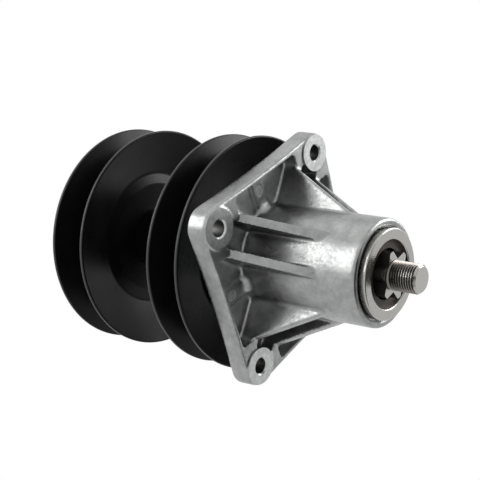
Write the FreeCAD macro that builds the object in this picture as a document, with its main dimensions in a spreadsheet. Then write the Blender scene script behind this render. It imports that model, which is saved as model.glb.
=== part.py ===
"""Mower deck spindle: cast housing, shaft on two ball bearings, and two stacked belt pulleys.

Millimetres. Z is the shaft's axis, pulleys up and blade end down. Z = 0 is the machined face of
the four screw bosses, and X and Y run along the sides of the square flange.
"""

import FreeCAD, Part
import math
import os
import re
import Sketcher

V = FreeCAD.Vector
doc = FreeCAD.newDocument("mower_deck_spindle")
sizes = doc.addObject("Spreadsheet::Sheet", "Sizes")
NEAR = 0.01

DRIVING = {
    # flange of the housing
    "hole_spacing": 88.9,
    "hole_bore": 9.0,
    "hole_chamfer": 0.4,
    "boss_radius": 10.6,
    "boss_height": 0.8,
    "flange_depth": 12.5,
    "lobe_radius": 11.9,
    "side_inset": 1.15,
    "flange_draft": 3.2,
    "flange_back_round": 1.5,
    "flange_front_round": 0.8,
    "floor_thickness": 2.5,
    "side_wall": 3.2,
    "pocket_half": 27.0,
    "corner_pocket_gap": 9.36,
    "pocket_round": 2.5,
    "bridge_width": 10.4,
    "bridge_rise": 1.7,
    "bridge_ramp": 3.6,
    "pin_mark_place": 42.4,
    "pin_mark_radius": 3.3,
    "pin_mark_depth": 0.3,
    # ribs and hub of the housing
    "rib_gap": 15.0,
    "rib_thickness": 5.0,
    "rib_start_gap": 13.86,
    "rib_foot": 26.0,
    "rib_reach": 44.4,
    "nose_reach": 63.8,
    "nose_radius": 29.2,
    "nose_round": 1.0,
    "hub_radius": 30.4,
    "hub_bore": 20.5,
    "nose_recess_radius": 25.4,
    "nose_recess_depth": 3.0,
    "upper_recess_radius": 24.6,
    "upper_recess_depth": 2.0,
    # bearings
    "bearing_bore": 20.0,
    "bearing_outside": 47.0,
    "bearing_width": 14.0,
    "upper_bearing_stand": 0.7,
    "ball_diameter": 7.94,
    "ball_count": 8,
    "inner_race_outside": 28.4,
    "outer_race_inside": 38.6,
    "ball_clearance": 0.05,
    "nose_ring_radius": 24.45,
    "nose_ring_mouth": 18.35,
    "nose_ring_stand": 3.2,
    "nose_ring_round": 0.8,
    "outer_seal_depth": 2.5,
    "seal_thickness": 1.6,
    "seal_gap": 0.3,
    "cage_wall": 1.8,
    "cage_width": 10.2,
    "cage_clearance": 0.15,
    "fit": 0.02,
    # shaft
    "thread_diameter": 15.88,
    "thread_chamfer": 1.3,
    "blade_thread_length": 15.4,
    "star_tip": 13.4,
    "star_tip_width": 3.0,
    "star_valley": 8.7,
    "star_turn": 33.3,
    "star_height": 9.0,
    "star_round": 1.0,
    "top_thread_length": 27.2,
    "shoulder_below_collar": 1.5,
    # two pulleys, each pressed from sheet in two halves
    "pulley_radius": 68.25,
    "sheet_thickness": 2.3,
    "groove_slope": 20.0,
    "rim_round": 0.9,
    "bend_round": 4.0,
    "lower_pulley_drop": 10.0,
    "lower_pulley_width": 24.6,
    "upper_pulley_width": 28.55,
    "crease_from_rim": 26.75,
    "crease_width": 7.0,
    "crease_rise": 1.5,
    # spacers, and what clamps the stack
    "spacer_wall": 3.0,
    "hub_spacer_radius": 15.0,
    "hub_spacer_height": 18.1,
    "pulley_spacer_radius": 19.0,
    "pulley_spacer_height": 71.8,
    "collar_radius": 17.0,
    "collar_height": 11.7,
    "washer_radius": 13.2,
    "washer_thickness": 2.6,
    "washer_split": 1.6,
    "nut_flats": 23.8,
    "nut_height": 15.5,
    "nut_flange_radius": 16.0,
    "nut_flange_height": 3.0,
}
for row, (name, value) in enumerate(DRIVING.items(), start=1):
    sizes.set("A%d" % row, name)
    sizes.set("B%d" % row, str(value))
    sizes.setAlias("B%d" % row, name)
trial = doc.addObject("Spreadsheet::Sheet", "Trial")
doc.recompute()


def cells(text):
    """The formula with each size's name turned into a reference to its cell."""

    def as_cell(word):
        return "Sizes." + word[0] if word[0] in DRIVING else word[0]

    return re.sub("[a-z_]+", as_cell, text)


# Heights that pieces share, from the blade end up.
NOSE = "(-nose_reach)"
LOWER_BEARING = "(nose_recess_depth - nose_reach)"
LOWER_BEARING_TOP = "(%s + bearing_width)" % LOWER_BEARING
UPPER_BEARING_TOP = "(flange_depth + upper_bearing_stand)"
UPPER_BEARING = "(%s - bearing_width)" % UPPER_BEARING_TOP
LOWER_PULLEY = "(%s + hub_spacer_height)" % UPPER_BEARING_TOP
PULLEY_SPACER = "(%s + 2 * sheet_thickness)" % LOWER_PULLEY
UPPER_PULLEY = "(%s + pulley_spacer_height)" % PULLEY_SPACER
COLLAR = "(%s + 2 * sheet_thickness)" % UPPER_PULLEY
WASHER = "(%s + collar_height)" % COLLAR
NUT = "(%s + washer_thickness)" % WASHER

# Radii that pieces share.
SHAFT = "(bearing_bore / 2)"
BORE = "(bearing_bore / 2 + fit)"
SEAT = "(bearing_outside / 2)"
PITCH = "((bearing_bore + bearing_outside) / 4)"
HOLE = "(hole_spacing / 2)"
CORNER = "(hole_spacing / sqrt(2))"


def now(formula):
    """What a formula comes to with the sheet's sizes, for first guesses and for picking edges."""
    trial.set("A1", "=" + cells(formula))
    trial.recompute()
    return float(trial.get("A1"))


def plane(body, role):
    return next(feature for feature in body.Origin.OriginFeatures if feature.Role == role)


def new_body(label, height="0"):
    """A piece of its own, its lowest reference face at the height given."""
    body = doc.addObject("PartDesign::Body", label)
    body.Label = label
    body.setExpression("Placement.Base.z", cells(height))
    return body


def new_sketch(body, name, role="XY_Plane", height=None, turn=None):
    sketch = body.newObject("Sketcher::SketchObject", name)
    sketch.AttachmentSupport = [(plane(body, role), "")]
    sketch.MapMode = "FlatFace"
    if turn:
        upright = V(0, 0, 1) if role == "XY_Plane" else V(0, 1, 0)
        sketch.AttachmentOffset = FreeCAD.Placement(V(0, 0, 0), FreeCAD.Rotation(upright, turn))
    if height:
        aside = turn if turn and role == "XZ_Plane" else 0
        sketch.setExpression("AttachmentOffset.Base.x", cells("(%s) * sin(%d)" % (height, aside)))
        sketch.setExpression("AttachmentOffset.Base.z", cells("(%s) * cos(%d)" % (height, aside)))
    return sketch


def bind(sketch, kind, *where, to):
    """A dimension in the sketch that follows a formula."""
    index = sketch.addConstraint(Sketcher.Constraint(kind, *where, now(to)))
    sketch.setExpression("Constraints[%d]" % index, cells(to))


def draw_polygon(sketch, corners):
    """A closed polygon whose corners stand at (across, up) formulas."""
    count = len(corners)
    turns = [2 * math.pi * k / count for k in range(count)]
    ring = [V(math.cos(turn), math.sin(turn), 0) for turn in turns]
    for k in range(count):
        sketch.addGeometry(Part.LineSegment(ring[k], ring[(k + 1) % count]), False)
    for k in range(count):
        sketch.addConstraint(Sketcher.Constraint("Coincident", k, 2, (k + 1) % count, 1))
    for k, (across, up) in enumerate(corners):
        bind(sketch, "DistanceX", -1, 1, k, 1, to=across)
        bind(sketch, "DistanceY", -1, 1, k, 1, to=up)


def draw_circle(sketch, across, up, radius):
    index = sketch.addGeometry(Part.Circle(V(1, 1, 0), V(0, 0, 1), 1), False)
    bind(sketch, "DistanceX", -1, 1, index, 3, to=across)
    bind(sketch, "DistanceY", -1, 1, index, 3, to=up)
    bind(sketch, "Radius", index, to=radius)


def grow(body, kind, name, profile, length=None, reverse=False, **formulas):
    """Adds a pad, pocket, revolution or groove of the profile to the body."""
    feature = body.newObject("PartDesign::" + kind, name)
    feature.Profile = profile
    if length:
        feature.setExpression("Length", cells(length))
    else:
        feature.ReferenceAxis = (profile, ["V_Axis"])
        feature.Angle = 360
    feature.Reversed = reverse
    for key, formula in formulas.items():
        feature.setExpression(key, cells(formula))
    body.Tip = feature
    return feature


def four_times(body, name, features):
    """Repeats the features at the four corners or sides of the flange."""
    pattern = body.newObject("PartDesign::PolarPattern", name)
    pattern.Originals = features
    pattern.Axis = (plane(body, "Z_Axis"), [""])
    pattern.Angle = 360
    pattern.Occurrences = 4
    body.Tip = pattern


def round_edges(body, name, radius, chosen, kind="Fillet"):
    """Rounds, or chamfers, those edges of the body so far that the test picks."""
    doc.recompute()
    base = body.Tip
    names = ["Edge%d" % index for index, edge in enumerate(base.Shape.Edges, start=1) if chosen(edge)]
    feature = body.newObject("PartDesign::" + kind, name)
    feature.Base = (base, names)
    feature.setExpression("Size" if kind == "Chamfer" else "Radius", cells(radius))
    body.Tip = feature


def turned(label, height, profile):
    """A piece turned about Z from a closed profile of (radius, height) formulas."""
    body = new_body(label, height)
    sketch = new_sketch(body, label + "_profile", "XZ_Plane")
    draw_polygon(sketch, profile)
    grow(body, "Revolution", label + "_turning", sketch)
    return body


def tube(label, height, inside, outside, length):
    return turned(label, height, [(inside, "0"), (outside, "0"), (outside, length), (inside, length)])


def circle_at(radius, height):
    """A test for the circular edge about the axis with this radius and height."""
    wanted = (now(radius), now(height))

    def chosen(edge):
        if not isinstance(edge.Curve, Part.Circle):
            return False
        box = edge.BoundBox
        off = (edge.Curve.Radius - wanted[0], box.ZMin - wanted[1], box.ZMax - wanted[1])
        return max(map(abs, off)) < NEAR

    return chosen


def either(*tests):
    return lambda edge: any(test(edge) for test in tests)


# Housing: one die casting. A shallow square tray with four screw bosses, a tapered hub down its
# middle, two ribs from each corner to the hub, and machined seats for the two bearings.
housing = new_body("spindle_housing")

outline = new_sketch(housing, "flange_outline", height="flange_depth")
SIDE = "(%s + lobe_radius - side_inset)" % HOLE
SIDE_CURVE = "((%s ^ 2 / side_inset + side_inset) / 2 - lobe_radius)" % HOLE
hole, lobe, side, side_curve = now(HOLE), now("lobe_radius"), now(SIDE), now(SIDE_CURVE)
side_sweep = math.atan2(hole, side + side_curve - hole)
for quarter in range(4):
    middle = math.radians(45 + 90 * quarter)
    centre = V(math.copysign(hole, math.cos(middle)), math.copysign(hole, math.sin(middle)), 0)
    start = math.radians(90 * quarter) + side_sweep
    end = math.radians(90 * quarter + 90) - side_sweep
    outline.addGeometry(Part.ArcOfCircle(Part.Circle(centre, V(0, 0, 1), lobe), start, end), False)
for quarter in range(4):
    facing = math.radians(90 * quarter + 90)
    centre = V(math.cos(facing), math.sin(facing), 0) * (side + side_curve)
    arc = Part.ArcOfCircle(
        Part.Circle(centre, V(0, 0, 1), side_curve),
        facing + math.pi - side_sweep,
        facing + math.pi + side_sweep,
    )
    outline.addGeometry(arc, False)
for quarter, (across, up) in enumerate(((1, 1), (-1, 1), (-1, -1), (1, -1))):
    bind(outline, "DistanceX", -1, 1, quarter, 3, to="%d * %s" % (across, HOLE))
    bind(outline, "DistanceY", -1, 1, quarter, 3, to="%d * %s" % (up, HOLE))
    bind(outline, "Radius", quarter, to="lobe_radius")
for quarter in range(4):
    outline.addConstraint(Sketcher.Constraint("Tangent", quarter, 2, 4 + quarter, 2))
    outline.addConstraint(Sketcher.Constraint("Tangent", (quarter + 1) % 4, 1, 4 + quarter, 1))
    bind(outline, "Radius", 4 + quarter, to=SIDE_CURVE)
grow(housing, "Pad", "flange", outline, "flange_depth - boss_height", True, TaperAngle="-flange_draft")


def flat_at(height):
    """A test for the level edges at this height."""
    wanted = now(height)

    def chosen(edge):
        box = edge.BoundBox
        return max(abs(box.ZMin - wanted), abs(box.ZMax - wanted)) < NEAR

    return chosen


round_edges(housing, "flange_back", "flange_back_round", flat_at("flange_depth"))
round_edges(housing, "flange_front", "flange_front_round", flat_at("boss_height"))

# Pockets open towards the blade: one along each side, and one between each pair of ribs.
FLOOR = "(flange_depth - floor_thickness)"
RIB_OUTSIDE = "((rib_gap / 2 + rib_thickness) * sqrt(2))"
WALL_INSIDE = "(%s - side_wall)" % SIDE
CORNER_POCKET_END = "(%s - corner_pocket_gap)" % CORNER
side_pocket = new_sketch(housing, "side_pocket_outline", height=FLOOR)
draw_polygon(side_pocket, [
    ("-pocket_half", "-" + WALL_INSIDE),
    ("pocket_half", "-" + WALL_INSIDE),
    ("pocket_half", "-(pocket_half + %s)" % RIB_OUTSIDE),
    ("0", "-" + RIB_OUTSIDE),
    ("-pocket_half", "-(pocket_half + %s)" % RIB_OUTSIDE),
])
corner_pocket = new_sketch(housing, "corner_pocket_outline", height=FLOOR, turn=45)
draw_polygon(corner_pocket, [
    ("hub_bore", "-rib_gap / 2"),
    (CORNER_POCKET_END, "-rib_gap / 2"),
    (CORNER_POCKET_END, "rib_gap / 2"),
    ("hub_bore", "rib_gap / 2"),
])
four_times(housing, "pockets", [
    grow(housing, "Pocket", "side_pocket", side_pocket, "flange_depth"),
    grow(housing, "Pocket", "corner_pocket", corner_pocket, "flange_depth"),
])


def pocket_corner(edge):
    """An upright edge of a pocket, outside the hub."""
    box = edge.BoundBox
    upright = box.XLength + box.YLength < NEAR < box.ZLength
    return upright and math.hypot(box.Center.x, box.Center.y) > now("hub_radius")


round_edges(housing, "pocket_corners", "pocket_round", pocket_corner)

# The hub, and in each side pocket a low bridge with the round mark of an ejector pin. The bridge
# runs up a short ramp to the hub.
HUB_TOP = "(%s + upper_recess_depth)" % UPPER_BEARING_TOP
hub = new_sketch(housing, "hub_profile", "XZ_Plane")
draw_polygon(hub, [("0", NOSE), ("nose_radius", NOSE), ("hub_radius", HUB_TOP), ("0", HUB_TOP)])
grow(housing, "Revolution", "hub", hub)
bridge = new_sketch(housing, "bridge_outline", height=FLOOR)
draw_polygon(bridge, [
    ("-bridge_width / 2", "-(%s + side_wall / 2)" % WALL_INSIDE),
    ("bridge_width / 2", "-(%s + side_wall / 2)" % WALL_INSIDE),
    ("bridge_width / 2", "-hub_bore"),
    ("-bridge_width / 2", "-hub_bore"),
])
bridge_pad = grow(housing, "Pad", "bridge", bridge, "bridge_rise", True)
BRIDGE_TOP = "(%s - bridge_rise)" % FLOOR
ramp = new_sketch(housing, "ramp_profile", "XZ_Plane", height="-bridge_width / 2")
draw_polygon(ramp, [
    ("hub_bore", "%s - bridge_ramp" % BRIDGE_TOP),
    ("hub_radius", "%s - bridge_ramp" % BRIDGE_TOP),
    ("hub_radius + bridge_ramp", BRIDGE_TOP),
    ("hub_radius + bridge_ramp", FLOOR),
    ("hub_bore", FLOOR),
])
ramp_pad = grow(housing, "Pad", "ramp", ramp, "bridge_width")
pin_mark = new_sketch(housing, "pin_mark_outline", height=BRIDGE_TOP)
draw_circle(pin_mark, "0", "-pin_mark_place", "pin_mark_radius")
pin_mark_cut = grow(housing, "Pocket", "pin_mark", pin_mark, "pin_mark_depth", True)
four_times(housing, "bridges", [bridge_pad, ramp_pad, pin_mark_cut])

# Ribs: plates on each side of the corner's diagonal, with a straight sloping crest.
RIB_START = "(%s - rib_start_gap)" % CORNER
ribs = []
for side_name, place, outward in (("left", "rib_gap / 2", False), ("right", "-rib_gap / 2", True)):
    rib = new_sketch(housing, side_name + "_rib_profile", "XZ_Plane", height=place, turn=45)
    draw_polygon(rib, [
        ("hub_bore", "boss_height + 1"),
        (RIB_START, "boss_height + 1"),
        (RIB_START, "0"),
        ("rib_foot", "-rib_reach"),
        ("hub_bore", "-rib_reach"),
    ])
    ribs.append(grow(housing, "Pad", side_name + "_rib", rib, "rib_thickness", outward))
four_times(housing, "ribs", ribs)

# Machined bores, screw bosses and screw holes.
bore = new_sketch(housing, "bore_profile", "XZ_Plane")
draw_polygon(bore, [
    ("0", NOSE + " - 1"),
    ("nose_recess_radius", NOSE + " - 1"),
    ("nose_recess_radius", LOWER_BEARING),
    (SEAT, LOWER_BEARING),
    (SEAT, LOWER_BEARING_TOP),
    ("hub_bore", LOWER_BEARING_TOP),
    ("hub_bore", UPPER_BEARING),
    (SEAT, UPPER_BEARING),
    (SEAT, UPPER_BEARING_TOP),
    ("upper_recess_radius", UPPER_BEARING_TOP),
    ("upper_recess_radius", HUB_TOP + " + 1"),
    ("0", HUB_TOP + " + 1"),
])
grow(housing, "Groove", "bores", bore)
boss = new_sketch(housing, "boss_outline")
draw_circle(boss, HOLE, HOLE, "boss_radius")
screw_hole = new_sketch(housing, "screw_hole_outline")
draw_circle(screw_hole, HOLE, HOLE, "hole_bore / 2")
four_times(housing, "bosses", [
    grow(housing, "Pad", "boss", boss, "flange_depth - floor_thickness / 2"),
    grow(housing, "Pocket", "screw_hole", screw_hole, "flange_depth + 1", True),
])
round_edges(housing, "screw_hole_chamfers", "hole_chamfer", circle_at("hole_bore / 2", "0"), "Chamfer")
round_edges(housing, "nose_rounding", "nose_round", circle_at("nose_radius", NOSE))

# Bearings: two of the same size. The lower one's outer race runs on as a ring that stands out of
# the nose, with a seal in its mouth.
NOSE_RING = "(-nose_reach - nose_ring_stand)"
RING_HEIGHT = "(%s - %s)" % (LOWER_BEARING, NOSE_RING)
SEAL_IN_RING = "(outer_seal_depth + seal_thickness)"


def cut_ball_track(body, height):
    """Cuts the groove that the balls run in."""
    track = body.newObject("PartDesign::SubtractiveTorus", body.Label + "_track")
    track.setExpression("Radius1", cells(PITCH))
    track.setExpression("Radius2", cells("ball_diameter / 2 + ball_clearance"))
    track.setExpression("Placement.Base.z", cells(height))
    body.Tip = track


def outer_race(label, height, extra):
    """A plain outer race, or one whose ring stands out by extra at its lower end."""
    profile = [
        ("outer_race_inside / 2", "0"),
        (SEAT + " - fit", "0"),
        (SEAT + " - fit", "bearing_width"),
        ("outer_race_inside / 2", "bearing_width"),
    ]
    if extra:
        profile = [
            ("nose_ring_mouth", "-" + extra),
            ("nose_ring_radius", "-" + extra),
            ("nose_ring_radius", "0"),
        ] + profile[1:] + [
            ("outer_race_inside / 2", "%s - %s" % (SEAL_IN_RING, extra)),
            ("nose_ring_mouth", "%s - %s" % (SEAL_IN_RING, extra)),
        ]
    body = turned(label, height, profile)
    cut_ball_track(body, "bearing_width / 2")
    return body


def bearing(name, height, extra=None):
    """Races, balls, cage and inner seals of one bearing."""
    race = outer_race(name + "_bearing_outer_race", height, extra)
    if extra:
        mouth = circle_at("nose_ring_mouth", "-" + extra)
        lip = either(circle_at("nose_ring_radius", "-" + extra), mouth)
        round_edges(race, "nose_ring_rounding", "nose_ring_round", lip)
    inner = tube(name + "_bearing_inner_race", height, BORE, "inner_race_outside / 2", "bearing_width")
    cut_ball_track(inner, "bearing_width / 2")
    balls = []
    for number in range(int(now("ball_count"))):
        ball = doc.addObject("Part::Sphere", "%s_ball_%d" % (name, number))
        ball.setExpression("Radius", cells("ball_diameter / 2"))
        turn = "%d * 360 / ball_count" % number
        ball.setExpression("Placement.Base.x", cells("%s * cos(%s)" % (PITCH, turn)))
        ball.setExpression("Placement.Base.y", cells("%s * sin(%s)" % (PITCH, turn)))
        balls.append(ball)
    group = doc.addObject("Part::Compound", name + "_bearing_balls")
    group.Links = balls
    group.setExpression("Placement.Base.z", cells("%s + bearing_width / 2" % height))
    cage = tube(
        name + "_bearing_cage",
        "%s + (bearing_width - cage_width) / 2" % height,
        PITCH + " - cage_wall / 2",
        PITCH + " + cage_wall / 2",
        "cage_width",
    )
    window = cage.newObject("PartDesign::SubtractiveCylinder", name + "_cage_window")
    window.Placement = FreeCAD.Placement(V(0, 0, 0), FreeCAD.Rotation(V(0, 1, 0), 90))
    window.setExpression("Radius", cells("ball_diameter / 2 + cage_clearance"))
    window.setExpression("Height", cells("2 * cage_wall"))
    window.setExpression("Placement.Base.x", cells(PITCH + " - cage_wall"))
    window.setExpression("Placement.Base.z", cells("cage_width / 2"))
    windows = cage.newObject("PartDesign::PolarPattern", name + "_cage_windows")
    windows.Originals = [window]
    windows.Axis = (plane(cage, "Z_Axis"), [""])
    windows.Angle = 360
    windows.setExpression("Occurrences", "Sizes.ball_count")
    cage.Tip = windows
    return [race, inner, group, cage]


def seal(label, height, inside, outside):
    return tube(label, height, inside, outside, "seal_thickness")


pieces = [housing]
pieces += bearing("lower", LOWER_BEARING, RING_HEIGHT)
pieces += bearing("upper", UPPER_BEARING)
SEAL_INSIDE = "inner_race_outside / 2 + seal_gap"
SEAL_OUTSIDE = "outer_race_inside / 2 - fit"
NOSE_SEAL = "%s + outer_seal_depth" % NOSE_RING
LOWER_SEAL = "%s - seal_thickness" % LOWER_BEARING_TOP
TOP_SEAL = "%s - seal_thickness" % UPPER_BEARING_TOP
pieces += [
    seal("nose_ring_seal", NOSE_SEAL, "star_tip + seal_gap", "nose_ring_mouth - fit"),
    seal("lower_bearing_inner_seal", LOWER_SEAL, SEAL_INSIDE, SEAL_OUTSIDE),
    seal("upper_bearing_lower_seal", UPPER_BEARING, SEAL_INSIDE, SEAL_OUTSIDE),
    seal("upper_bearing_upper_seal", TOP_SEAL, SEAL_INSIDE, SEAL_OUTSIDE),
]

# Shaft: blade thread, six-pointed star that drives the blade, plain journal, top thread.
STAR = "blade_thread_length"
JOURNAL = "(blade_thread_length + star_height)"
SHAFT_FOOT = "(%s - %s)" % (LOWER_BEARING, JOURNAL)
SHOULDER = "(%s - %s - shoulder_below_collar)" % (WASHER, SHAFT_FOOT)
SHAFT_TOP = "(%s + top_thread_length)" % SHOULDER
THREAD = "(thread_diameter / 2)"
shaft = turned("spindle_shaft", SHAFT_FOOT, [
    ("0", "0"),
    (THREAD + " - thread_chamfer", "0"),
    (THREAD, "thread_chamfer"),
    (THREAD, JOURNAL),
    (SHAFT, JOURNAL),
    (SHAFT, SHOULDER),
    (THREAD, SHOULDER),
    (THREAD, SHAFT_TOP + " - thread_chamfer"),
    (THREAD + " - thread_chamfer", SHAFT_TOP),
    ("0", SHAFT_TOP),
])
star = new_sketch(shaft, "star_outline", height=STAR)
star_corners = []
for point in range(6):
    turn = "(star_turn + %d)" % (60 * point)
    valley = "(star_turn + %d)" % (60 * point + 30)
    for half in ("-star_tip_width / 2", "star_tip_width / 2"):
        star_corners.append((
            "star_tip * cos(%s) - (%s) * sin(%s)" % (turn, half, turn),
            "star_tip * sin(%s) + (%s) * cos(%s)" % (turn, half, turn),
        ))
    star_corners.append(("star_valley * cos(%s)" % valley, "star_valley * sin(%s)" % valley))
draw_polygon(star, star_corners)
grow(shaft, "Pad", "star", star, "star_height")


def star_point(edge):
    """An upright edge at the tip of the star."""
    place = edge.CenterOfMass
    reach = math.hypot(place.x, place.y)
    corner = math.hypot(now("star_tip"), now("star_tip_width / 2"))
    return isinstance(edge.Curve, Part.Line) and abs(reach - corner) < NEAR


round_edges(shaft, "star_rounding", "star_round", star_point)
pieces.append(shaft)

# Pulleys: two flared sheet halves each, back to back on a flat web.
SLOPE = "tan(groove_slope)"
SHEET_UP = "(sheet_thickness / cos(groove_slope))"


def flared_half(label, height, rim_height, crease=None):
    """A pressed disc. Its flat web's lower face is at height, and its rim's lower edge rim_height
    above that. A crease is a (radius, height) where a step sets the wall off from the web."""
    rim_top = "(%s + %s)" % (rim_height, SHEET_UP)
    if crease:
        foot, rise = crease
        web_edge = (foot + " - crease_width", "0")
        web_top_edge = (foot + " - crease_width", "sheet_thickness")
        bends = [(foot, rise)]
        top_bends = [(foot, rise + " + " + SHEET_UP)]
    else:
        top_flare = "abs(%s - sheet_thickness)" % rim_top
        web_edge = ("pulley_radius - abs(%s) / %s" % (rim_height, SLOPE), "0")
        web_top_edge = ("pulley_radius - %s / %s" % (top_flare, SLOPE), "sheet_thickness")
        bends = []
        top_bends = []
    profile = [(BORE, "0"), web_edge] + bends + [
        ("pulley_radius", rim_height),
        ("pulley_radius", rim_top),
    ] + top_bends + [web_top_edge, (BORE, "sheet_thickness")]
    half = turned(label, height, profile)
    rim = either(circle_at("pulley_radius", rim_height), circle_at("pulley_radius", rim_top))
    round_edges(half, label + "_rim_rounding", "rim_round", rim)
    corners = [circle_at(*corner) for corner in [web_edge, web_top_edge] + bends + top_bends]
    round_edges(half, label + "_bends", "bend_round", either(*corners))
    return half


CREASE = "(pulley_radius - crease_from_rim)"
UPPER_DROP = "(crease_from_rim * %s - crease_rise)" % SLOPE
pieces += [
    flared_half("lower_pulley_lower_half", LOWER_PULLEY, "-lower_pulley_drop"),
    flared_half(
        "lower_pulley_upper_half",
        LOWER_PULLEY + " + sheet_thickness",
        "lower_pulley_width - lower_pulley_drop - sheet_thickness - " + SHEET_UP,
    ),
    flared_half("upper_pulley_lower_half", UPPER_PULLEY, "-" + UPPER_DROP, (CREASE, "crease_rise")),
    flared_half(
        "upper_pulley_upper_half",
        UPPER_PULLEY + " + sheet_thickness",
        "upper_pulley_width - %s - sheet_thickness - %s" % (UPPER_DROP, SHEET_UP),
    ),
]

# Tubes between the bearings and the pulleys, and the nut and washer that clamp the stack.
washer = tube("lock_washer", WASHER, THREAD + " + fit", "washer_radius", "washer_thickness")
split = new_sketch(washer, "washer_split_outline")
draw_polygon(split, [
    ("0", "-washer_split / 2"),
    ("washer_radius + 1", "-washer_split / 2"),
    ("washer_radius + 1", "washer_split / 2"),
    ("0", "washer_split / 2"),
])
grow(washer, "Pocket", "washer_split", split, "washer_thickness", True)

nut = tube("top_nut", NUT, THREAD + " + fit", "nut_flange_radius", "nut_flange_height")
hexagon = new_sketch(nut, "nut_outline")
flats = []
for turn in range(0, 360, 60):
    flats.append(tuple("nut_flats / sqrt(3) * %s(%d)" % (axis, turn) for axis in ("cos", "sin")))
draw_polygon(hexagon, flats)
draw_circle(hexagon, "0", "0", THREAD + " + fit")
grow(nut, "Pad", "nut_flats_pad", hexagon, "nut_height")

BEARING_GAP = "%s - %s" % (UPPER_BEARING, LOWER_BEARING_TOP)
pieces += [
    tube("bearing_spacer_tube", LOWER_BEARING_TOP, BORE, SHAFT + " + spacer_wall", BEARING_GAP),
    tube("hub_spacer", UPPER_BEARING_TOP, BORE, "hub_spacer_radius", "hub_spacer_height"),
    tube("pulley_spacer", PULLEY_SPACER, BORE, "pulley_spacer_radius", "pulley_spacer_height"),
    tube("top_collar", COLLAR, BORE, "collar_radius", "collar_height"),
    washer,
    nut,
]

doc.removeObject("Trial")
doc.recompute()
for item in doc.Objects:
    if "Invalid" in item.State or "Error" in item.State:
        raise RuntimeError("%s: %s" % (item.Name, item.getStatusString()))
for piece in pieces:
    if piece.Shape.isNull() or not piece.Shape.isValid():
        raise RuntimeError(piece.Label + " has no valid shape")
os.makedirs("parts", exist_ok=True)
for piece in pieces:
    piece.Shape.exportStep("parts/%s.step" % piece.Label)
    print(piece.Label, len(piece.Shape.Solids), round(piece.Shape.Volume / 1000, 2), "cm3")
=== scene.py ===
"""Looks of a mower deck spindle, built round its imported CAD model. Metres, Z along the shaft."""

import math

import bpy
from mathutils import Matrix, Vector


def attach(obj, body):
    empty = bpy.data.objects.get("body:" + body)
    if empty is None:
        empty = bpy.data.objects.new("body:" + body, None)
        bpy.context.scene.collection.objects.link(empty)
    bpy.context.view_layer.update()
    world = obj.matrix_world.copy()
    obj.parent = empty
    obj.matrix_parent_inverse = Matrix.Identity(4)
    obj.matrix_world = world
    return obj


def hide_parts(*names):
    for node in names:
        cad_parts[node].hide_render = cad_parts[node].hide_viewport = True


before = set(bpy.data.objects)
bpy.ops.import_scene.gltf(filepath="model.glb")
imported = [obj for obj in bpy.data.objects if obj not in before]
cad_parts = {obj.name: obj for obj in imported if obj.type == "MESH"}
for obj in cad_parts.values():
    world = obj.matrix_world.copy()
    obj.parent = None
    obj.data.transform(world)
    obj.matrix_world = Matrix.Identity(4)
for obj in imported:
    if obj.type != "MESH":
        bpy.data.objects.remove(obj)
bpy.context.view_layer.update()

# Camera: where the photographer stood, low on the blade side, with the shaft pointing at the
# viewer's right. The three directions are the picture's right, its up and the line of sight.
right = Vector((0.6054, 0.2519, -0.7550))
up = Vector((0.5014, -0.8574, 0.1159))
sight = Vector((0.6181, 0.4488, 0.6454))
bpy.ops.object.camera_add(location=(-0.3179, -0.2380, -0.2977))
camera = bpy.context.object
camera.rotation_mode = "QUATERNION"
camera.rotation_quaternion = Matrix((right, up, -sight)).transposed().to_quaternion()
camera.data.sensor_width = 36
camera.data.lens = 65.41
bpy.context.scene.camera = camera
bpy.context.scene.view_settings.view_transform = "Standard"

# Studio: a white room that the metal mirrors, with a weak softbox above the object and a stronger
# one on either side, as the photograph has them. A dark wall stands behind the camera, low on its
# right, seen only in reflections, and the floor is far below, out of the picture.
centre = Vector((0, 0, 0.03))


def beside(across, above, behind):
    """The place that lies this far from the object along the picture's right, up and sight."""
    return centre + right * across + up * above + sight * behind


def softbox(name, place, side, watts):
    """A square lamp that faces the object."""
    bpy.ops.object.light_add(type="AREA", location=place)
    lamp = bpy.context.object
    lamp.name = name
    lamp.data.size = side
    lamp.data.energy = watts
    lamp.rotation_mode = "QUATERNION"
    lamp.rotation_quaternion = (centre - place).to_track_quat("-Z", "Y")


softbox("overhead_softbox", beside(-0.2, 0.9, 0.15), side=0.5, watts=0.4)
softbox("left_softbox", beside(-0.85, 0.36, -0.14), side=0.62, watts=5.5)
softbox("right_softbox", beside(0.86, 0.47, 0.19), side=0.55, watts=7)

world = bpy.data.worlds.new("white_room")
world.use_nodes = True
bpy.context.scene.world = world


def add_node(tree, kind, settings=None, links=None):
    """Adds a node to a material or world. Settings are its options and input values, and links
    join its inputs to the outputs given."""
    node = tree.nodes.new(kind)
    for name, value in (settings or {}).items():
        if isinstance(name, str) and hasattr(node, name):
            setattr(node, name, value)
        else:
            node.inputs[name].default_value = value
    for name, output in (links or {}).items():
        tree.links.new(output, node.inputs[name])
    return node


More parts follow.
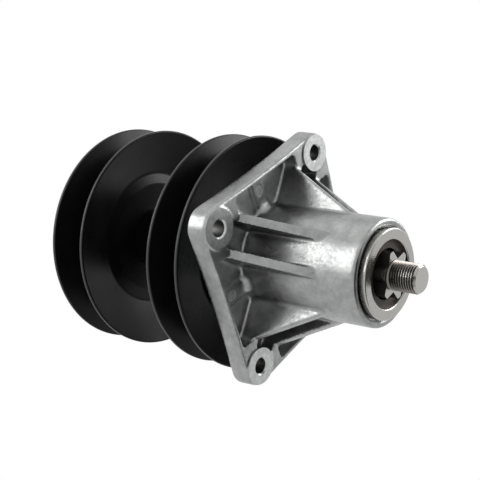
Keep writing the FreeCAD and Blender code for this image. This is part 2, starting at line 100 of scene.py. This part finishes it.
# The room lights the object weakly, and is plain white to the camera and in reflections.
WHITE = (1, 1, 1, 1)
room = world.node_tree
room.nodes.clear()
rays = add_node(room, "ShaderNodeLightPath")
seen = add_node(
    room, "ShaderNodeMath",
    {"operation": "ADD"},
    {0: rays.outputs["Is Camera Ray"], 1: rays.outputs["Is Glossy Ray"]},
)
seen = add_node(
    room, "ShaderNodeMath",
    {"operation": "ADD", "use_clamp": True},
    {0: seen.outputs[0], 1: rays.outputs["Is Transmission Ray"]},
)
walls = add_node(room, "ShaderNodeBackground", {"Color": WHITE, "Strength": 0.4})
white = add_node(room, "ShaderNodeBackground", {"Color": WHITE, "Strength": 1.0})
both = add_node(
    room, "ShaderNodeMixShader", {},
    {0: seen.outputs[0], 1: walls.outputs[0], 2: white.outputs[0]},
)
add_node(room, "ShaderNodeOutputWorld", {}, {"Surface": both.outputs[0]})


def linear(hex_colour):
    """An sRGB hex colour as the linear colour that a node takes."""
    parts = [int(hex_colour[place:place + 2], 16) / 255 for place in (1, 3, 5)]
    return [
        part / 12.92 if part <= 0.04045 else ((part + 0.055) / 1.055) ** 2.4 for part in parts
    ] + [1]


def new_material(name, **sockets):
    """A material, its node tree and its Principled shader, with these values on the shader."""
    material = bpy.data.materials.new(name)
    material.use_nodes = True
    tree = material.node_tree
    shader = tree.nodes["Principled BSDF"]
    for socket, value in sockets.items():
        shader.inputs[socket.replace("_", " ")].default_value = value
    return material, tree, shader


FLOOR_HEIGHT = -1.7
bpy.ops.mesh.primitive_plane_add(size=10, location=(0, 0, FLOOR_HEIGHT))
floor = bpy.context.object
floor.name = "studio_floor"

# White paper: matt, and plain white to the camera and to what mirrors it.
paper, tree, shader = new_material("white_paper", Base_Color=linear("#f2f2f2"), Roughness=0.9)
paper_rays = add_node(tree, "ShaderNodeLightPath")
paper_seen = add_node(
    tree, "ShaderNodeMath",
    {"operation": "ADD", "use_clamp": True},
    {0: paper_rays.outputs["Is Camera Ray"], 1: paper_rays.outputs["Is Glossy Ray"]},
)
paper_white = add_node(tree, "ShaderNodeEmission", {"Strength": 1.0})
paper_mix = add_node(
    tree, "ShaderNodeMixShader", {},
    {0: paper_seen.outputs[0], 1: shader.outputs[0], 2: paper_white.outputs[0]},
)
tree.links.new(paper_mix.outputs[0], tree.nodes["Material Output"].inputs["Surface"])
floor.data.materials.append(paper)

bpy.ops.mesh.primitive_plane_add(size=1.2, location=beside(0.85, -0.24, -0.66))
dark_wall = bpy.context.object
dark_wall.name = "dark_wall"
dark_wall.visible_camera = False
dark_wall.rotation_mode = "QUATERNION"
dark_wall.rotation_quaternion = (centre - dark_wall.location).to_track_quat("Z", "Y")

# Black felt: dull, and nearly black from any side.
felt = new_material("black_felt", Base_Color=linear("#1c1c1c"), Roughness=0.95)[0]
dark_wall.data.materials.append(felt)


# Housing: a high-pressure die casting in aluminium. Its cast skin has soft edges and fillets
# everywhere. The bores, screw holes and boss faces are machined afterwards, with sharp edges.
MM = 0.001


def only(piece):
    """Selects this object alone and makes it active."""
    bpy.ops.object.select_all(action="DESELECT")
    piece.select_set(True)
    bpy.context.view_layer.objects.active = piece


def join(pieces):
    """Joins the pieces into the first of them."""
    only(pieces[0])
    for piece in pieces:
        piece.select_set(True)
    bpy.ops.object.join()


def apply_modifier(piece, name, kind, **settings):
    """Adds a modifier with these settings and applies it."""
    only(piece)
    modifier = piece.modifiers.new(name, kind)
    for key, value in settings.items():
        setattr(modifier, key, value)
    bpy.ops.object.modifier_apply(modifier=name)


def machine(piece, cutter, operation="DIFFERENCE"):
    """Takes the cutter's volume out of the piece, or with INTERSECT leaves only what lies in it.
    The new faces keep the cutter's material."""
    apply_modifier(
        piece, "machining", "BOOLEAN",
        operation=operation, solver="EXACT", object=cutter, material_mode="TRANSFER",
    )
    bpy.data.objects.remove(cutter)


def turned(name, steps, segments=128):
    """A solid of revolution, extruded ring by ring from its lowest disc. Steps are (radius,
    height) in millimetres."""
    bpy.ops.object.select_all(action="DESELECT")
    radius, height = steps[0]
    bpy.ops.mesh.primitive_circle_add(
        vertices=segments, radius=radius * MM, fill_type="NGON", location=(0, 0, height * MM)
    )
    piece = bpy.context.object
    piece.name = name
    bpy.ops.object.mode_set(mode="EDIT")
    for (last_radius, last_height), (radius, height) in zip(steps, steps[1:]):
        rise = (0, 0, (height - last_height) * MM)
        growth = radius / last_radius
        bpy.ops.mesh.extrude_region_move(TRANSFORM_OT_translate={"value": rise})
        bpy.ops.transform.resize(value=(growth, growth, 1), center_override=(0, 0, height * MM))
    bpy.ops.mesh.select_all(action="SELECT")
    bpy.ops.mesh.normals_make_consistent(inside=False)
    bpy.ops.object.mode_set(mode="OBJECT")
    bpy.ops.object.transform_apply()
    return piece


def cad_copy(name, node):
    """A new piece with a merged copy of a CAD node's mesh."""
    piece = bpy.data.objects.new(name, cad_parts[node].data.copy())
    bpy.context.scene.collection.objects.link(piece)
    only(piece)
    bpy.ops.mesh.customdata_custom_splitnormals_clear()
    bpy.ops.object.mode_set(mode="EDIT")
    bpy.ops.mesh.select_all(action="SELECT")
    bpy.ops.mesh.remove_doubles(threshold=0.001 * MM)
    bpy.ops.object.mode_set(mode="OBJECT")
    piece.data.materials.clear()
    return piece


def smooth_part(piece, name, iterations, chosen):
    """Smooths only the chosen part of a piece. chosen is given each place in millimetres."""
    group = piece.vertex_groups.new(name=name)
    for vertex in piece.data.vertices:
        if chosen(*(part / MM for part in vertex.co)):
            group.add([vertex.index], 1, "REPLACE")
    apply_modifier(piece, name, "SMOOTH", factor=0.5, iterations=iterations, vertex_group=name)


# Cast aluminium: bright grey, half dull, blotchy where the melt ran, with small dark pores.
casting_skin, tree, shader = new_material("cast_aluminium_skin", Metallic=1.0)
place = add_node(tree, "ShaderNodeTexCoord").outputs["Object"]
blotches = add_node(
    tree, "ShaderNodeTexNoise",
    {"Scale": 1 / (9 * MM), "Detail": 6, "Roughness": 0.72},
    {"Vector": place},
)
greys = add_node(tree, "ShaderNodeValToRGB", {}, {"Fac": blotches.outputs["Fac"]})
greys.color_ramp.elements[0].position = 0.3
greys.color_ramp.elements[0].color = linear("#858786")
greys.color_ramp.elements[1].position = 0.7
greys.color_ramp.elements[1].color = linear("#a6a7a6")
pore_cells = add_node(tree, "ShaderNodeTexVoronoi", {"Scale": 1 / (4 * MM)}, {"Vector": place})
pores = add_node(
    tree, "ShaderNodeMapRange",
    {"From Min": 0.02, "From Max": 0.09},
    {"Value": pore_cells.outputs["Distance"]},
)
skin_colour = add_node(
    tree, "ShaderNodeMix",
    {"data_type": "RGBA", 6: linear("#636160")},
    {0: pores.outputs[0], 7: greys.outputs["Color"]},
)
tree.links.new(skin_colour.outputs[2], shader.inputs["Base Color"])
sheen_noise = add_node(
    tree, "ShaderNodeTexNoise", {"Scale": 1 / (1.8 * MM), "Detail": 4}, {"Vector": place}
)
sheen = add_node(
    tree, "ShaderNodeMapRange",
    {"From Min": 0.3, "From Max": 0.7, "To Min": 0.28, "To Max": 0.46},
    {"Value": sheen_noise.outputs["Fac"]},
)
tree.links.new(sheen.outputs[0], shader.inputs["Roughness"])
grain = add_node(
    tree, "ShaderNodeTexNoise",
    {"Scale": 1 / (1.6 * MM), "Detail": 5, "Roughness": 0.65},
    {"Vector": place},
)
skin_bump = add_node(
    tree, "ShaderNodeBump",
    {"Strength": 0.5, "Distance": 0.14 * MM},
    {"Height": grain.outputs["Fac"]},
)
pore_bump = add_node(
    tree, "ShaderNodeBump",
    {"Strength": 0.6, "Distance": 0.15 * MM},
    {"Height": pores.outputs[0], "Normal": skin_bump.outputs[0]},
)
tree.links.new(pore_bump.outputs[0], shader.inputs["Normal"])

# Machined aluminium: brighter, with dull smears, and the fine rings that the tool leaves. They are
# drawn about 1 mm apart, which is coarser than the real ones.
machined_skin, tree, shader = new_material("machined_aluminium", Metallic=1.0, Roughness=0.34)
place = add_node(tree, "ShaderNodeTexCoord").outputs["Object"]
smears = add_node(
    tree, "ShaderNodeTexNoise",
    {"Scale": 1 / (3 * MM), "Detail": 5, "Roughness": 0.7},
    {"Vector": place},
)
smear_greys = add_node(tree, "ShaderNodeValToRGB", {}, {"Fac": smears.outputs["Fac"]})
smear_greys.color_ramp.elements[0].position = 0.35
smear_greys.color_ramp.elements[0].color = linear("#a3a5a4")
smear_greys.color_ramp.elements[1].position = 0.65
smear_greys.color_ramp.elements[1].color = linear("#c6c8c7")
tree.links.new(smear_greys.outputs["Color"], shader.inputs["Base Color"])
tool_rings = add_node(
    tree, "ShaderNodeTexWave",
    {
        "wave_type": "RINGS",
        "rings_direction": "Z",
        "Scale": 1 / (3.2 * MM),
        "Distortion": 0.3,
    },
    {"Vector": place},
)
ring_bump = add_node(
    tree, "ShaderNodeBump",
    {"Strength": 0.25, "Distance": 0.04 * MM},
    {"Height": tool_rings.outputs["Fac"]},
)
tree.links.new(ring_bump.outputs[0], shader.inputs["Normal"])

# Drilled aluminium: the dull, scored wall that a drill leaves, coloured darker as painted shade
# inside the holes.
drilled_wall_painted_shade, tree, shader = new_material(
    "drilled_aluminium_painted_shade", Base_Color=linear("#6d6d6b"), Metallic=1.0, Roughness=0.55
)
place = add_node(tree, "ShaderNodeTexCoord").outputs["Object"]
drill_marks = add_node(
    tree, "ShaderNodeTexNoise", {"Scale": 1 / (0.8 * MM), "Detail": 3}, {"Vector": place}
)
drill_bump = add_node(
    tree, "ShaderNodeBump",
    {"Strength": 0.4, "Distance": 0.08 * MM},
    {"Height": drill_marks.outputs["Fac"]},
)
tree.links.new(drill_bump.outputs[0], shader.inputs["Normal"])

# The raw casting has no bores or screw holes yet, so they are plugged before its skin is made,
# and each screw boss stands 1 mm proud, which the facing cut takes off.
SCREW_SQUARE = 88.9
BOSS_RADIUS = 10.6
BOSS_PLUG_HEIGHT = 12.2
BOSS_PLUG_MIDDLE = 5.1
BORE_PLUG = [(27, -62), (27, 14.6)]
housing = cad_copy("housing_casting", "spindle_housing")
half_square = SCREW_SQUARE / 2 * MM
screw_places = [(x * half_square, y * half_square) for x in (-1, 1) for y in (-1, 1)]
plugs = [turned("bore_plug", BORE_PLUG)]
for x, y in screw_places:
    bpy.ops.mesh.primitive_cylinder_add(
        vertices=64,
        radius=BOSS_RADIUS * MM,
        depth=BOSS_PLUG_HEIGHT * MM,
        location=(x, y, BOSS_PLUG_MIDDLE * MM),
    )
    plugs.append(bpy.context.object)
join([housing] + plugs)

# The casting's fillets are widest round the feet of the hub and ribs, deep in the pockets. The
# side walls are left sharper, and so are the bridges in the pockets beyond their ramps at the hub.
SKIN_CELL = 0.82
FILLET_START = 3
FILLET_END = 11
INSIDE_WALLS = 51
BESIDE_BRIDGE = 7
ROUND_RAMPS = 36
NOSE_START = -55


def in_pocket(x, y, z):
    """Whether a place has the wide fillets of the pockets."""
    x, y = abs(x), abs(y)
    off_bridge = min(x, y) > BESIDE_BRIDGE or math.hypot(x, y) < ROUND_RAMPS
    return FILLET_START < z < FILLET_END and max(x, y) < INSIDE_WALLS and off_bridge


def on_nose(x, y, z):
    """Whether a place is at the hub's nose, whose rim is rounded."""
    return z < NOSE_START


apply_modifier(
    housing, "cast_skin", "REMESH", mode="VOXEL", voxel_size=SKIN_CELL * MM, adaptivity=0
)
apply_modifier(housing, "soft_edges", "SMOOTH", factor=0.5, iterations=3)
smooth_part(housing, "pocket_corners", iterations=80, chosen=in_pocket)
smooth_part(housing, "nose_rim", iterations=12, chosen=on_nose)
housing.data.materials.append(casting_skin)

# One cut makes the two bearing seats, the bore between them and a recess at each end, faces,
# drills and chamfers the screw bosses, and leaves the round marks of the die's ejector pins. The
# wall of a screw hole is drilled and coloured dark as painted shade, and its chamfer and boss face
# are machined.
BORE = [
    (25.4, -70), (25.4, -60.8),
    (23.5, -60.8), (23.5, -46.8),
    (20.5, -46.8), (20.5, -0.8),
    (23.5, -0.8), (23.5, 13.2),
    (24.6, 13.2), (24.6, 20),
]
SCREW_HOLE = [(12.5, -9), (12.5, 0), (5.3, 0), (4.5, 0.8), (4.5, 20)]
PIN_MARK = [(3.3, 4), (3.3, 8.65)]
PIN_PLACE = 42.4 * MM
cutters = [turned("bore_cutter", BORE)]
cutters[0].data.materials.append(machined_skin)
for x, y in screw_places:
    drill = turned("screw_hole_cutter", SCREW_HOLE, segments=64)
    drill.location = (x, y, 0)
    drill.data.materials.append(machined_skin)
    drill.data.materials.append(drilled_wall_painted_shade)
    # Faces above the chamfer take the drilled wall, coloured dark as painted shade.
    for face in drill.data.polygons:
        face.material_index = int(face.center.z > MM)
    cutters.append(drill)
for x, y in ((PIN_PLACE, 0), (0, PIN_PLACE), (-PIN_PLACE, 0), (0, -PIN_PLACE)):
    marker = turned("pin_mark_cutter", PIN_MARK, segments=64)
    marker.location = (x, y, 0)
    marker.data.materials.append(machined_skin)
    cutters.append(marker)
join(cutters)
machine(housing, cutters[0])
only(housing)
bpy.ops.object.shade_smooth_by_angle(angle=math.radians(35))
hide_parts("spindle_housing")
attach(housing, "housing")


# Shaft: turned from one steel bar. A 5/8 inch fine thread is cut at each end, and the six-pointed
# star that drives the blade has bright faced ends and sides coloured dark as painted shade.

# The thread's grooves end at THREAD_ROOT, and STAR_INSIDE lies between the thread and the sides
# of the star.
PITCH = 25.4 / 18
THREAD_ROOT = 6.88
GROOVE_SIZE = 0.8
STEPS_PER_TURN = 48
STAR_FOOT = -69.8
STAR_TOP = -60.8
STAR_INSIDE = 8.5

# Turned steel: bright, and slightly uneven in its shine.
bright_steel, tree, shader = new_material(
    "lathe_turned_steel", Base_Color=linear("#a9a8a4"), Metallic=1.0
)
place = add_node(tree, "ShaderNodeTexCoord").outputs["Object"]
lathe = add_node(
    tree, "ShaderNodeTexNoise", {"Scale": 1 / (2.5 * MM), "Detail": 3}, {"Vector": place}
)
lathe_sheen = add_node(
    tree, "ShaderNodeMapRange",
    {"From Min": 0.3, "From Max": 0.7, "To Min": 0.18, "To Max": 0.28},
    {"Value": lathe.outputs["Fac"]},
)
tree.links.new(lathe_sheen.outputs[0], shader.inputs["Roughness"])

# Star sides: painted shade, dark and uneven, where the star's sides lie in shadow.
star_painted_shade, tree, shader = new_material("star_side_painted_shade", Metallic=0.7, Roughness=0.5)
place = add_node(tree, "ShaderNodeTexCoord").outputs["Object"]
star_shade_noise = add_node(
    tree, "ShaderNodeTexNoise", {"Scale": 1 / (2 * MM), "Detail": 4}, {"Vector": place}
)
star_shade_greys = add_node(tree, "ShaderNodeValToRGB", {}, {"Fac": star_shade_noise.outputs["Fac"]})
star_shade_greys.color_ramp.elements[0].color = linear("#1b1a19")
star_shade_greys.color_ramp.elements[1].color = linear("#4a4744")
tree.links.new(star_shade_greys.outputs["Color"], shader.inputs["Base Color"])
star_side_bump = add_node(
    tree, "ShaderNodeBump",
    {"Strength": 0.4, "Distance": 0.08 * MM},
    {"Height": star_shade_noise.outputs["Fac"]},
)
tree.links.new(star_side_bump.outputs[0], shader.inputs["Normal"])

# Thread grooves: the flanks of the threads are coloured darker, as painted shade in the grooves.
thread_painted_shade, tree, shader = new_material("thread_groove_painted_shade", Metallic=1.0, Roughness=0.3)
place = add_node(tree, "ShaderNodeTexCoord").outputs["Object"]
groove_shade_noise = add_node(
    tree, "ShaderNodeTexNoise", {"Scale": 1 / (2 * MM), "Detail": 3}, {"Vector": place}
)
groove_shade_greys = add_node(tree, "ShaderNodeValToRGB", {}, {"Fac": groove_shade_noise.outputs["Fac"]})
groove_shade_greys.color_ramp.elements[0].color = linear("#46423f")
groove_shade_greys.color_ramp.elements[1].color = linear("#857f7a")
tree.links.new(groove_shade_greys.outputs["Color"], shader.inputs["Base Color"])


def thread_cutter(name, foot, turns):
    """A triangular coil, with the 60 degree point inwards, that cuts a right-hand thread."""
    bpy.ops.object.select_all(action="DESELECT")
    bpy.ops.mesh.primitive_circle_add(
        vertices=3,
        radius=GROOVE_SIZE * MM,
        fill_type="NOTHING",
        location=((THREAD_ROOT + GROOVE_SIZE) * MM, 0, foot * MM),
        rotation=(math.radians(90), math.radians(-90), 0),
    )
    coil = bpy.context.object
    coil.name = name
    bpy.ops.object.transform_apply()
    apply_modifier(
        coil, "turns", "SCREW",
        axis="Z",
        angle=turns * 2 * math.pi,
        screw_offset=turns * PITCH * MM,
        steps=turns * STEPS_PER_TURN,
        render_steps=turns * STEPS_PER_TURN,
        use_merge_vertices=False,
    )
    bpy.ops.object.mode_set(mode="EDIT")
    bpy.ops.mesh.select_all(action="SELECT")
    bpy.ops.mesh.fill_holes(sides=3)
    bpy.ops.mesh.select_all(action="SELECT")
    bpy.ops.mesh.normals_make_consistent(inside=False)
    bpy.ops.object.mode_set(mode="OBJECT")
    # The faces it cuts take the darker steel: painted shade in the thread's grooves.
    coil.data.materials.append(thread_painted_shade)
    return coil


shaft = cad_copy("threaded_shaft", "spindle_shaft")
shaft.data.materials.append(bright_steel)
shaft.data.materials.append(star_painted_shade)
machine(shaft, thread_cutter("blade_thread_cutter", foot=-85.9, turns=11))
machine(shaft, thread_cutter("top_thread_cutter", foot=140.6, turns=8))
# The star's sides take the second material, the dark painted shade.
for face in shaft.data.polygons:
    on_star = STAR_FOOT < face.center.z / MM < STAR_TOP
    on_side = abs(face.normal.z) < 0.5 and face.center.xy.length > STAR_INSIDE * MM
    if on_star and on_side:
        face.material_index = 1
only(shaft)
bpy.ops.object.shade_smooth_by_angle(angle=math.radians(30))
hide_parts("spindle_shaft")
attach(shaft, "rotor")


# Bearings: ground and hardened steel races, polished balls in a pressed cage. The lower outer
# race runs on as the bright ring that stands out of the nose.
def finish_nodes(material, *names):
    """Gives CAD nodes whose shape is right their finish."""
    for name in names:
        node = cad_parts[name]
        node.data.materials.clear()
        node.data.materials.append(material)


# Ground steel: even and bright, with a shine that varies a little.
ground_steel, tree, shader = new_material(
    "ground_bearing_steel", Base_Color=linear("#a6a5a2"), Metallic=1.0
)
place = add_node(tree, "ShaderNodeTexCoord").outputs["Object"]
ground = add_node(
    tree, "ShaderNodeTexNoise", {"Scale": 1 / (3 * MM), "Detail": 2}, {"Vector": place}
)
ground_sheen = add_node(
    tree, "ShaderNodeMapRange",
    {"From Min": 0.3, "From Max": 0.7, "To Min": 0.2, "To Max": 0.32},
    {"Value": ground.outputs["Fac"]},
)
tree.links.new(ground_sheen.outputs[0], shader.inputs["Roughness"])
finish_nodes(
    ground_steel,
    "lower_bearing_outer_race",
    "lower_bearing_inner_race",
    "upper_bearing_outer_race",
    "upper_bearing_inner_race",
)

# Polished steel: mirror-like, with faint smears of grease.
ball_steel, tree, shader = new_material(
    "polished_ball_steel", Base_Color=linear("#c8c8ca"), Metallic=1.0
)
place = add_node(tree, "ShaderNodeTexCoord").outputs["Object"]
ball_smears = add_node(tree, "ShaderNodeTexNoise", {"Scale": 1 / (2 * MM)}, {"Vector": place})
ball_sheen = add_node(
    tree, "ShaderNodeMapRange",
    {"To Min": 0.06, "To Max": 0.14},
    {"Value": ball_smears.outputs["Fac"]},
)
tree.links.new(ball_sheen.outputs[0], shader.inputs["Roughness"])
finish_nodes(ball_steel, "lower_bearing_balls", "upper_bearing_balls")

# Pressed steel: rolled sheet, duller than the races and slightly mottled.
cage_steel, tree, shader = new_material("pressed_cage_steel", Metallic=1.0, Roughness=0.4)
place = add_node(tree, "ShaderNodeTexCoord").outputs["Object"]
cage_noise = add_node(
    tree, "ShaderNodeTexNoise", {"Scale": 1 / (1.5 * MM), "Detail": 3}, {"Vector": place}
)
cage_greys = add_node(tree, "ShaderNodeValToRGB", {}, {"Fac": cage_noise.outputs["Fac"]})
cage_greys.color_ramp.elements[0].color = linear("#8d8b86")
cage_greys.color_ramp.elements[1].color = linear("#aeaca8")
tree.links.new(cage_greys.outputs["Color"], shader.inputs["Base Color"])
finish_nodes(cage_steel, "lower_bearing_cage", "upper_bearing_cage")


# Seals: moulded nitrile rubber, dull and brown-black, with a film of grease that dulls it in
# patches. They fill the mouths of the races.
seal_rubber, tree, shader = new_material("nitrile_rubber")
place = add_node(tree, "ShaderNodeTexCoord").outputs["Object"]
rubber_noise = add_node(
    tree, "ShaderNodeTexNoise", {"Scale": 1 / (2.2 * MM), "Detail": 4}, {"Vector": place}
)
rubber_browns = add_node(tree, "ShaderNodeValToRGB", {}, {"Fac": rubber_noise.outputs["Fac"]})
rubber_browns.color_ramp.elements[0].color = linear("#2b211c")
rubber_browns.color_ramp.elements[1].color = linear("#57473f")
tree.links.new(rubber_browns.outputs["Color"], shader.inputs["Base Color"])
rubber_sheen = add_node(
    tree, "ShaderNodeMapRange",
    {"To Min": 0.42, "To Max": 0.65},
    {"Value": rubber_noise.outputs["Fac"]},
)
tree.links.new(rubber_sheen.outputs[0], shader.inputs["Roughness"])
rubber_bump = add_node(
    tree, "ShaderNodeBump",
    {"Strength": 0.2, "Distance": 0.05 * MM},
    {"Height": rubber_noise.outputs["Fac"]},
)
tree.links.new(rubber_bump.outputs[0], shader.inputs["Normal"])
finish_nodes(
    seal_rubber,
    "nose_ring_seal",
    "lower_bearing_inner_seal",
    "upper_bearing_lower_seal",
    "upper_bearing_upper_seal",
)


# Pulleys and the tube between them: pressed and turned steel under satin black paint, baked on
# after dipping, with a faint ripple. At the rims it is coloured grey, partly as wear where belts
# and hands rub and partly as painted highlight for the glint on the rounded rim edges.
WEAR_AND_GLINT_STARTS = 67.7
RIM_RADIUS = 68.25
black_paint, tree, shader = new_material("black_dip_paint", Specular_IOR_Level=0.13)
place = add_node(tree, "ShaderNodeTexCoord").outputs["Object"]
paint_cloud = add_node(
    tree, "ShaderNodeTexNoise", {"Scale": 1 / (14 * MM), "Detail": 3}, {"Vector": place}
)
paint_blacks = add_node(tree, "ShaderNodeValToRGB", {}, {"Fac": paint_cloud.outputs["Fac"]})
paint_blacks.color_ramp.elements[0].color = linear("#0c0c0d")
paint_blacks.color_ramp.elements[1].color = linear("#131315")
outwards = add_node(
    tree, "ShaderNodeVectorMath", {"operation": "MULTIPLY", 1: (1, 1, 0)}, {0: place}
)
distance = add_node(
    tree, "ShaderNodeVectorMath", {"operation": "LENGTH"}, {0: outwards.outputs[0]}
)
# Grey band at the rim: wear and painted highlight together.
rim_wear_and_glint = add_node(
    tree, "ShaderNodeMapRange",
    {"From Min": WEAR_AND_GLINT_STARTS * MM, "From Max": RIM_RADIUS * MM},
    {"Value": distance.outputs["Value"]},
)
worn_black_and_glint = add_node(
    tree, "ShaderNodeMix",
    {"data_type": "RGBA", 7: linear("#4c4c4e")},
    {0: rim_wear_and_glint.outputs[0], 6: paint_blacks.outputs["Color"]},
)
tree.links.new(worn_black_and_glint.outputs[2], shader.inputs["Base Color"])
paint_sheen = add_node(
    tree, "ShaderNodeMapRange",
    {"From Min": 0.3, "From Max": 0.7, "To Min": 0.26, "To Max": 0.33},
    {"Value": paint_cloud.outputs["Fac"]},
)
tree.links.new(paint_sheen.outputs[0], shader.inputs["Roughness"])
ripple = add_node(
    tree, "ShaderNodeTexNoise", {"Scale": 1 / (1.4 * MM), "Detail": 2}, {"Vector": place}
)
ripple_bump = add_node(
    tree, "ShaderNodeBump",
    {"Strength": 0.1, "Distance": 0.04 * MM},
    {"Height": ripple.outputs["Fac"]},
)
tree.links.new(ripple_bump.outputs[0], shader.inputs["Normal"])
finish_nodes(
    black_paint,
    "lower_pulley_lower_half",
    "lower_pulley_upper_half",
    "pulley_spacer",
    "upper_pulley_lower_half",
    "upper_pulley_upper_half",
)


# Spacers, collar and lock washer: turned steel, zinc plated, with the cloudy silver of passivated
# zinc. They set the distances up the shaft and carry the nut's clamping load.
zinc, tree, shader = new_material("zinc_plated_steel", Metallic=1.0)
place = add_node(tree, "ShaderNodeTexCoord").outputs["Object"]
zinc_clouds = add_node(
    tree, "ShaderNodeTexNoise", {"Scale": 1 / (4 * MM), "Detail": 4}, {"Vector": place}
)
zinc_greys = add_node(tree, "ShaderNodeValToRGB", {}, {"Fac": zinc_clouds.outputs["Fac"]})
zinc_greys.color_ramp.elements[0].color = linear("#9fa2a4")
zinc_greys.color_ramp.elements[1].color = linear("#bfc2c3")
tree.links.new(zinc_greys.outputs["Color"], shader.inputs["Base Color"])
zinc_sheen = add_node(
    tree, "ShaderNodeMapRange",
    {"To Min": 0.26, "To Max": 0.42},
    {"Value": zinc_clouds.outputs["Fac"]},
)
tree.links.new(zinc_sheen.outputs[0], shader.inputs["Roughness"])
finish_nodes(zinc, "bearing_spacer_tube", "hub_spacer", "top_collar", "lock_washer")


# Nut: a zinc plated flange nut, its corners chamfered on a lathe at 30 degrees and its flange
# bevelled at the rim. The blank that trims it is turned a little, so that no surfaces coincide.
NUT_BLANK = [
    (15, 126.3), (15.9, 127.2), (15.9, 128.5), (14.6, 129.7), (14.6, 141.0), (12.3, 142.3)
]
nut = cad_copy("flange_nut", "top_nut")
nut.data.materials.append(zinc)
blank = turned("nut_blank", NUT_BLANK)
blank.rotation_euler.z = math.radians(1.3)
machine(nut, blank, "INTERSECT")
only(nut)
bpy.ops.object.shade_smooth_by_angle(angle=math.radians(25))
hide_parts("top_nut")
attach(nut, "rotor")
